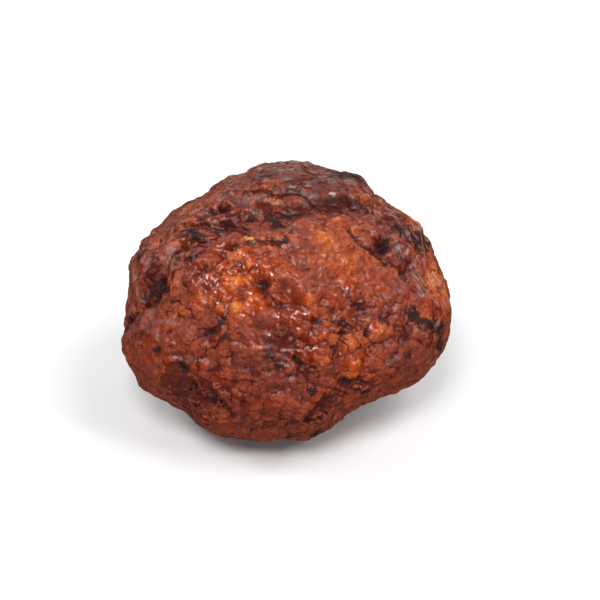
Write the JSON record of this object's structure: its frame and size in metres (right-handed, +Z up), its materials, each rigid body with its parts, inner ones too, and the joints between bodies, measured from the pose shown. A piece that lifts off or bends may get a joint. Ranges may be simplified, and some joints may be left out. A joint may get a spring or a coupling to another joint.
{
  "type": "meatball",
  "caption": "Browned meatball: a slightly flattened ball with a lumpy, folded and cracked crust and a small flat spot to rest on.",
  "frame": {"origin": "on the floor, under the middle of the meatball's outline seen from above", "axes": "+X across the meatball, its longest extent, to the right seen from the front; -Y towards the front; +Z up"},
  "size_m": [0.0456, 0.0424, 0.0366],
  "materials": {
    "browned_crust": "browned meat crust, red-brown with darker char and orange patches, slightly greasy sheen"
  },
  "bodies": {
    "root": {"meatball": "browned_crust"}
  },
  "joints": []
}
